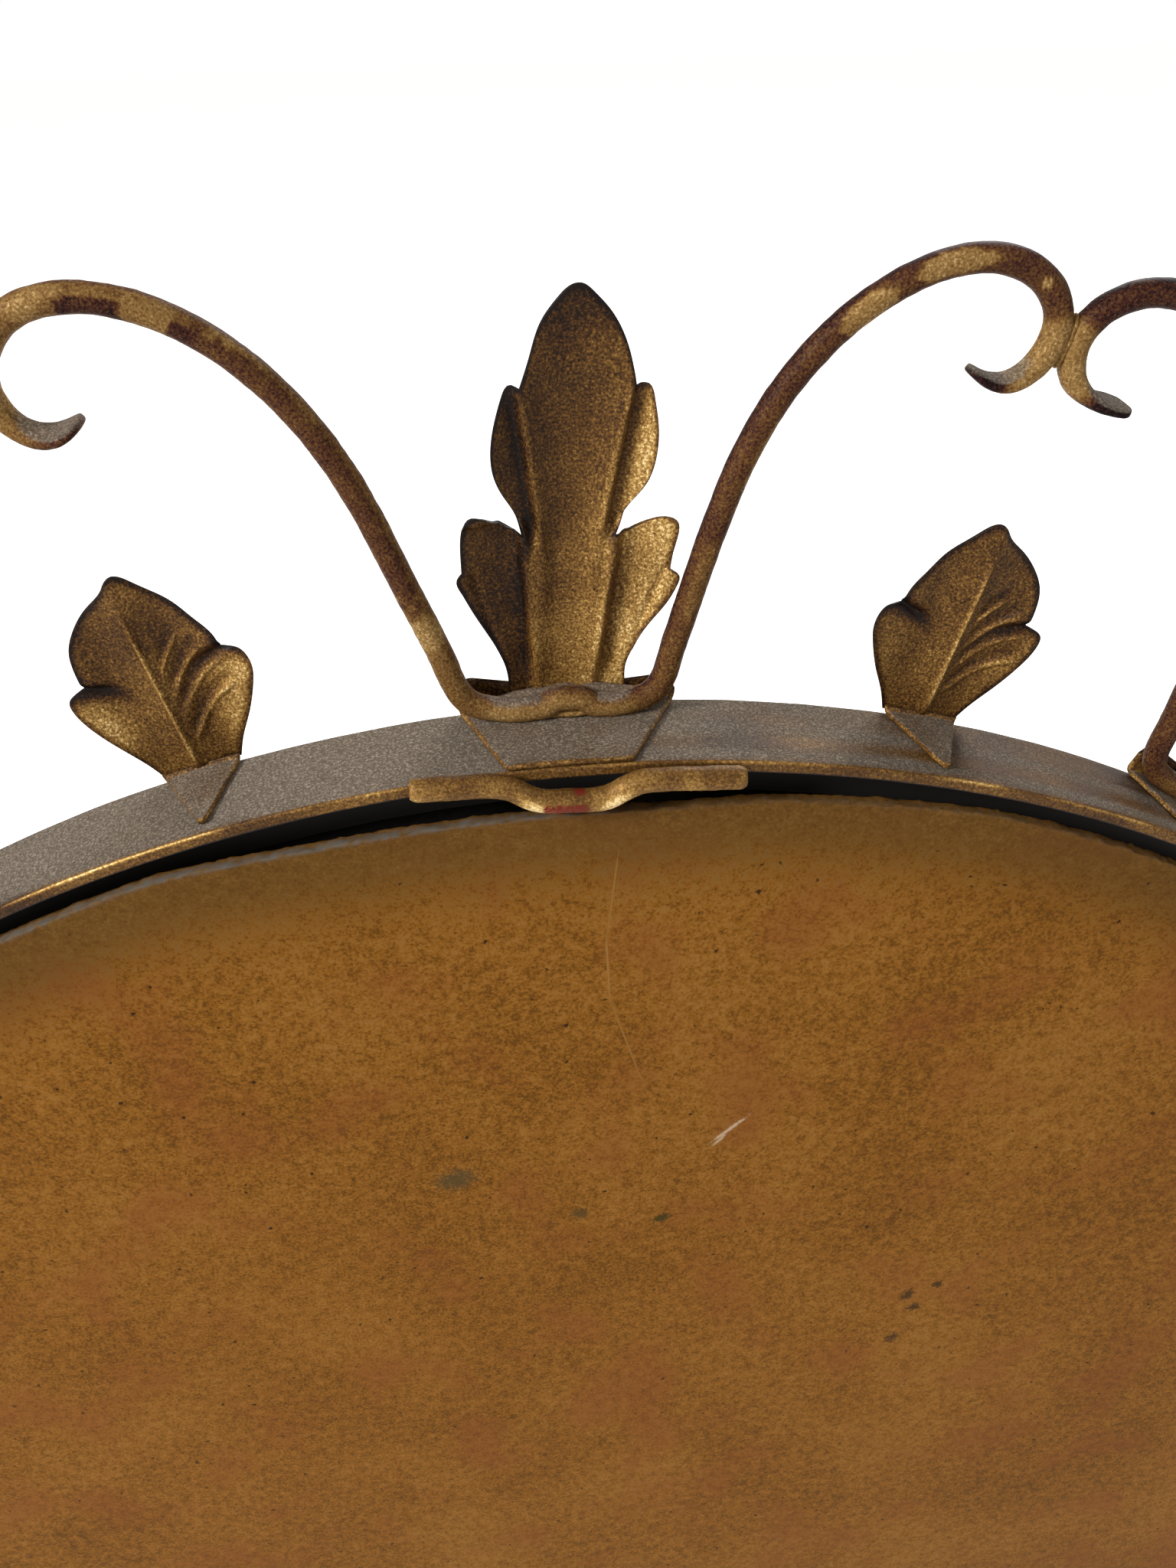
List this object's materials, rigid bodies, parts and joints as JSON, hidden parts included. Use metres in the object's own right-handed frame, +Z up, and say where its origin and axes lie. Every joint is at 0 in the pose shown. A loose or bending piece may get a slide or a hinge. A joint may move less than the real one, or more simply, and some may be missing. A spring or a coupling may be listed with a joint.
{
  "type": "round wall mirror",
  "caption": "Round wall mirror in a flat iron hoop with a border of scrolled rods and stamped acanthus leaves, a hardboard back and a bent hanger rod.",
  "frame": {"origin": "on the wall plane, under the dip of the hanger rod where the hook bears, in the hoop's upright centre plane", "axes": "+Z up, +Y from the mirror's front towards the wall, +X to the left as seen from behind, which is to the right as seen from the front"},
  "size_m": [0.8236, 0.0324, 0.8236],
  "materials": {
    "gilt_hoop": "gold bronze paint over red-brown primer, dusty and rubbed",
    "silvered_glass": "polished float glass silvered on the back",
    "grey_card": "plain grey packing card",
    "hardboard": "smooth brown hardboard, aged darker at the edge",
    "gilt_hanger": "gold bronze paint worn to red primer in the dip",
    "clip_sheet": "plain mild steel strip, dulled",
    "painted_scroll": "umber and gold paint in patches",
    "gilt_leaf": "gold bronze paint with umber wiped into the hollows"
  },
  "bodies": {
    "root": {"hoop_band": "gilt_hoop", "stop_ring": "gilt_hoop", "mirror_glass": "silvered_glass", "packing_card": "grey_card", "back_board": "hardboard", "hanger_rod": "gilt_hanger", "back_clip_1": "clip_sheet", "back_clip_2": "clip_sheet", "back_clip_3": "clip_sheet", "back_clip_4": "clip_sheet", "scroll_01": "painted_scroll", "tall_leaf_01": "gilt_leaf", "small_leaf_01": "gilt_leaf", "scroll_02": "painted_scroll", "tall_leaf_02": "gilt_leaf", "small_leaf_02": "gilt_leaf", "scroll_03": "painted_scroll", "tall_leaf_03": "gilt_leaf", "small_leaf_03": "gilt_leaf", "scroll_04": "painted_scroll", "tall_leaf_04": "gilt_leaf", "small_leaf_04": "gilt_leaf", "scroll_05": "painted_scroll", "tall_leaf_05": "gilt_leaf", "small_leaf_05": "gilt_leaf", "scroll_06": "painted_scroll", "tall_leaf_06": "gilt_leaf", "small_leaf_06": "gilt_leaf", "scroll_07": "painted_scroll", "tall_leaf_07": "gilt_leaf", "small_leaf_07": "gilt_leaf", "scroll_08": "painted_scroll", "tall_leaf_08": "gilt_leaf", "small_leaf_08": "gilt_leaf", "scroll_09": "painted_scroll", "tall_leaf_09": "gilt_leaf", "small_leaf_09": "gilt_leaf", "scroll_10": "painted_scroll", "tall_leaf_10": "gilt_leaf", "small_leaf_10": "gilt_leaf", "scroll_11": "painted_scroll", "tall_leaf_11": "gilt_leaf", "small_leaf_11": "gilt_leaf", "scroll_12": "painted_scroll", "tall_leaf_12": "gilt_leaf", "small_leaf_12": "gilt_leaf"}
  },
  "joints": []
}
